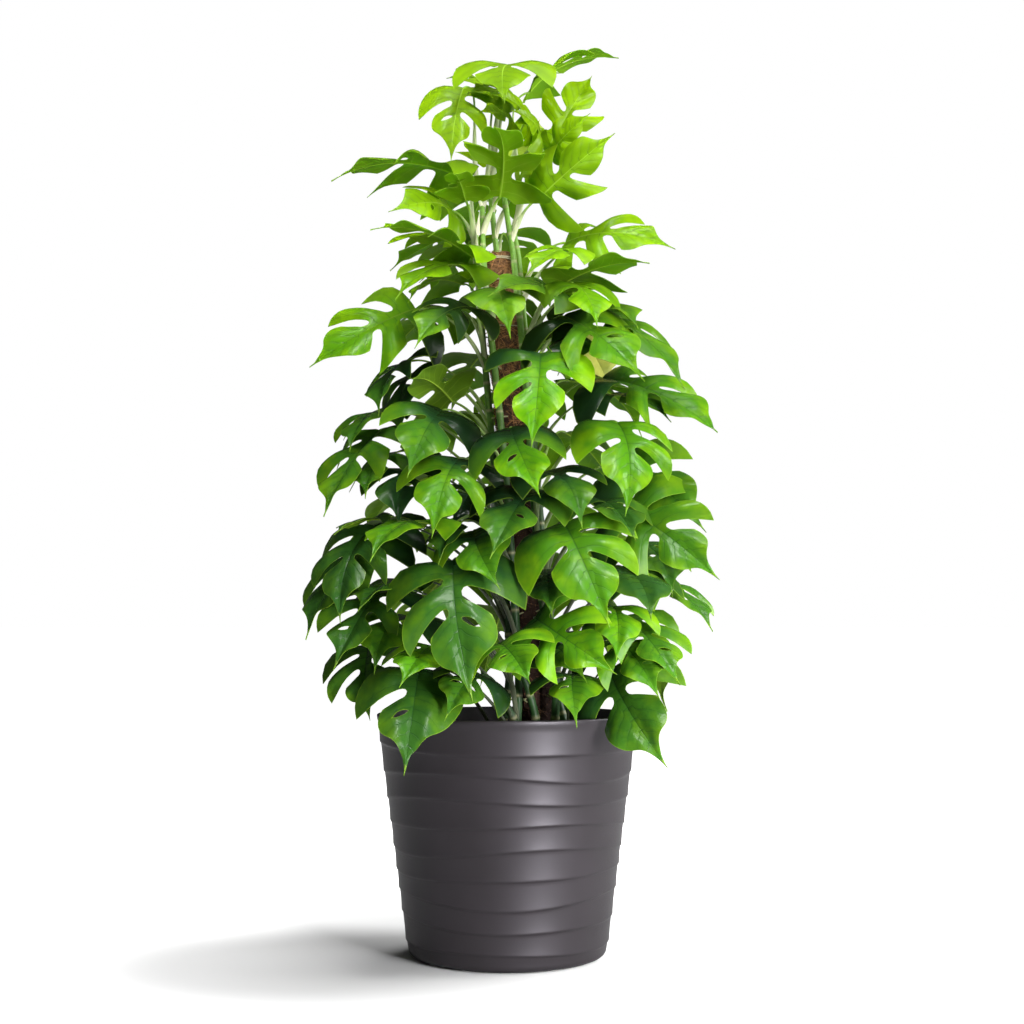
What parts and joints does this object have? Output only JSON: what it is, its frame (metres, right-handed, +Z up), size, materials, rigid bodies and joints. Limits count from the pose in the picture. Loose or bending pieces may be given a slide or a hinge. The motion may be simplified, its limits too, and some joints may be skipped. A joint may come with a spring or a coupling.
{
  "type": "potted mini monstera",
  "caption": "Potted climbing house plant: leafy stems with lobed, slit leaves on a leaning coir pole, standing in soil in a tapered ridged planter with a flat foot.",
  "frame": {"origin": "centre of the planter's flat foot, on the surface it stands on", "axes": "+Z up; -Y towards the front, where the leaf faces look; +X to the right seen from the front"},
  "size_m": [0.5499, 0.5213, 1.2315],
  "materials": {
    "planter": "satin",
    "soil": "matte",
    "coir": "matte",
    "foliage": "satin"
  },
  "bodies": {
    "root": {"pot": "planter", "potting_soil": "soil", "coir_pole": "coir", "front_left_vine": "foliage", "front_right_vine": "foliage", "right_vine": "foliage", "back_vine": "foliage", "left_vine": "foliage"}
  },
  "joints": []
}
